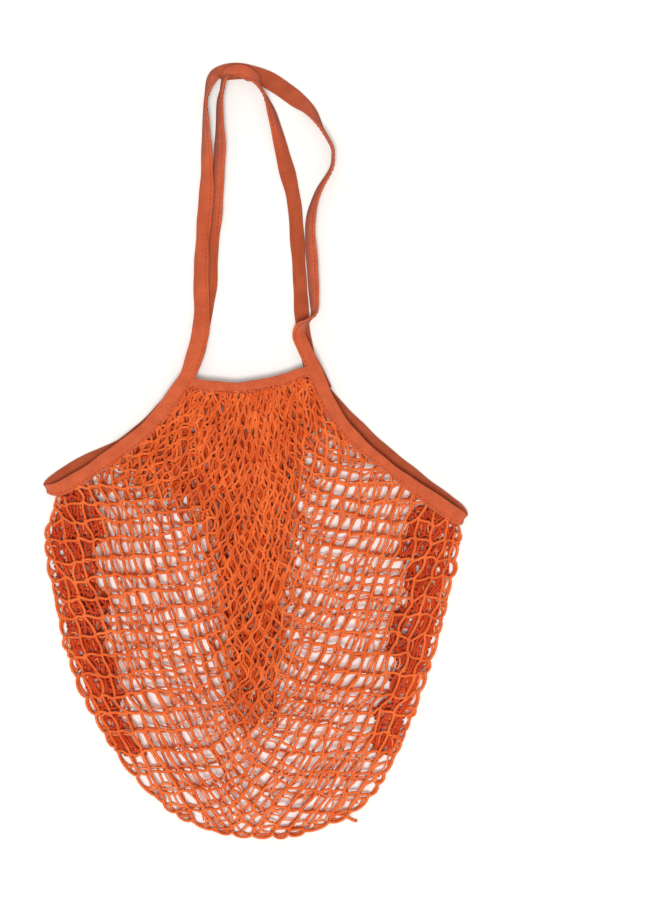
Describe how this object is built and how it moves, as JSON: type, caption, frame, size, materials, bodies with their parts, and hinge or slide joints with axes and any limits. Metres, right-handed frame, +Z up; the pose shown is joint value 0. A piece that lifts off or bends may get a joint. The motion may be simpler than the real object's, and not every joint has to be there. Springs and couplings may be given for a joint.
{
  "type": "string bag",
  "caption": "Net shopping bag of knotted cotton string with a knitted tape round its edges that also forms the handles, lying flat and empty.",
  "frame": {"origin": "middle of the bag's footprint, on the surface that it lies on", "axes": "+X across the bag to its right as seen from the front, +Y from the bottom towards the handles, +Z up from the surface through the back and then the front of the bag"},
  "size_m": [0.36, 0.6649, 0.0168],
  "materials": {
    "string": "matt twisted cotton string",
    "tape": "matt knitted cotton tape"
  },
  "bodies": {
    "root": {"net": "string", "tape": "tape", "hem_front": "tape", "hem_back": "tape"}
  },
  "joints": []
}
